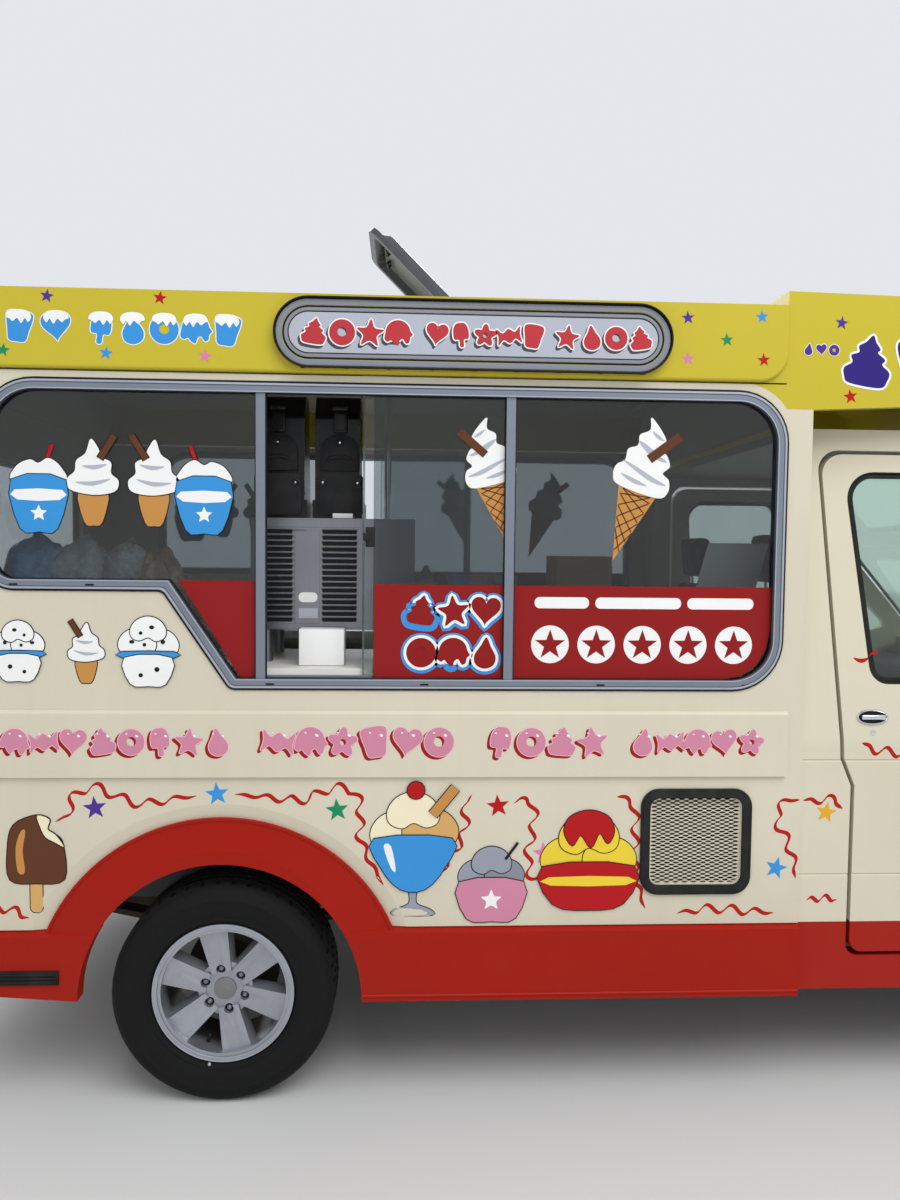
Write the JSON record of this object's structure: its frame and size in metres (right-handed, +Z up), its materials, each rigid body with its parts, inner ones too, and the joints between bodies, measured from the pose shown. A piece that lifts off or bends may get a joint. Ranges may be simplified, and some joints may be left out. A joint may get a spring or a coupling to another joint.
{
  "type": "ice cream truck",
  "caption": "Cream, yellow and red ice cream truck on a forward-bonneted van cab, with side serving windows and an open roof hatch.",
  "frame": {"origin": "on the ground under the middle of the truck's bounding box", "axes": "+X forward, +Y to the truck's left, +Z up"},
  "size_m": [5.2607, 2.456, 2.9902],
  "materials": {
    "body_cream": "gloss",
    "fascia_yellow": "gloss",
    "skirt_red": "gloss",
    "window_aluminium": "satin",
    "clear_glass": "gloss",
    "smoked_acrylic": "gloss",
    "chassis_black": "satin",
    "cast_grey": "rough",
    "exhaust_steel": "worn",
    "tyre_rubber": "matt",
    "wheel_alloy": "satin",
    "trim_black": "matt",
    "lamp_lens": "gloss",
    "dash_grey": "matt",
    "seat_cloth": "woven",
    "counter_white": "satin",
    "machine_steel": "satin",
    "machine_black": "satin",
    "floor_grey": "matt"
  },
  "bodies": {
    "truck_body": {"body_floor": "floor_grey", "body_glass": "clear_glass", "body_rear": "body_cream", "body_roof": "body_cream", "body_side_left": "body_cream", "body_side_right": "body_cream", "cab_floor": "floor_grey", "cab_frame": "body_cream", "cab_seats": "seat_cloth", "chassis_frame": "chassis_black", "counters": "counter_white", "dashboard": "dash_grey", "engine_block": "cast_grey", "exhaust_system": "exhaust_steel", "front_bumper_and_grille": "trim_black", "front_suspension": "chassis_black", "front_wings": "body_cream", "fuel_tank": "trim_black", "lamp_units": "lamp_lens", "lower_skirts": "skirt_red", "rear_axle": "chassis_black", "roof_fascia": "fascia_yellow", "slush_machines": "machine_black", "soft_serve_machine": "machine_steel", "steering_wheel": "trim_black", "window_frames": "window_aluminium", "windscreen": "clear_glass"},
    "wheel_rear_right_body": {"wheel_rear_right": "wheel_alloy", "tyre_rear_right": "tyre_rubber"},
    "wheel_rear_left_body": {"wheel_rear_left": "wheel_alloy", "tyre_rear_left": "tyre_rubber"},
    "wheel_front_right_body": {"wheel_front_right": "wheel_alloy", "tyre_front_right": "tyre_rubber"},
    "wheel_front_left_body": {"wheel_front_left": "wheel_alloy", "tyre_front_left": "tyre_rubber"},
    "steer_right_body": {"knuckle_right": "cast_grey"},
    "steer_left_body": {"knuckle_left": "cast_grey"},
    "door_right_body": {"cab_door_right": "body_cream", "door_glass_right": "clear_glass", "door_mirror_right": "trim_black"},
    "door_left_body": {"cab_door_left": "body_cream", "door_glass_left": "clear_glass", "door_mirror_left": "trim_black"},
    "bonnet_body": {"bonnet": "body_cream"},
    "hatch_body": {"hatch_lid": "smoked_acrylic"}
  },
  "joints": [
    {"name": "rear_right_wheel_spin", "type": "hinge", "parent": "truck_body", "child": "wheel_rear_right_body", "pos_m": [-1.6235, -0.858, 0.349], "axis": [0, 1, 0], "continuous": true},
    {"name": "rear_left_wheel_spin", "type": "hinge", "parent": "truck_body", "child": "wheel_rear_left_body", "pos_m": [-1.6235, 0.858, 0.349], "axis": [0, 1, 0], "continuous": true},
    {"name": "steer_left", "type": "hinge", "parent": "truck_body", "child": "steer_left_body", "pos_m": [1.6265, 0.69, 0.349], "axis": [0, 0, 1], "range_deg": [-28, 28]},
    {"name": "steer_right", "type": "hinge", "parent": "truck_body", "child": "steer_right_body", "pos_m": [1.6265, -0.69, 0.349], "axis": [0, 0, 1], "range_deg": [-28, 28]},
    {"name": "front_right_wheel_spin", "type": "hinge", "parent": "steer_right_body", "child": "wheel_front_right_body", "pos_m": [1.6265, -0.858, 0.349], "axis": [0, 1, 0], "continuous": true},
    {"name": "front_left_wheel_spin", "type": "hinge", "parent": "steer_left_body", "child": "wheel_front_left_body", "pos_m": [1.6265, 0.858, 0.349], "axis": [0, 1, 0], "continuous": true},
    {"name": "right_door_hinge", "type": "hinge", "parent": "truck_body", "child": "door_right_body", "pos_m": [1.1725, -0.984, 0.88], "axis": [0, 0, 1], "range_deg": [0, 68]},
    {"name": "left_door_hinge", "type": "hinge", "parent": "truck_body", "child": "door_left_body", "pos_m": [1.1725, 0.984, 0.88], "axis": [0, 0, -1], "range_deg": [0, 68]},
    {"name": "bonnet_hinge", "type": "hinge", "parent": "truck_body", "child": "bonnet_body", "pos_m": [1.7815, 0, 1.25], "axis": [0, -1, 0], "range_deg": [0, 55]},
    {"name": "hatch_hinge", "type": "hinge", "parent": "truck_body", "child": "hatch_body", "pos_m": [-0.8935, 0, 2.662], "axis": [0, 1, 0], "range_deg": [-44.5, 15]}
  ],
  "couplings": [
    {"joint": "steer_right", "follows": "steer_left", "ratio": 1}
  ]
}
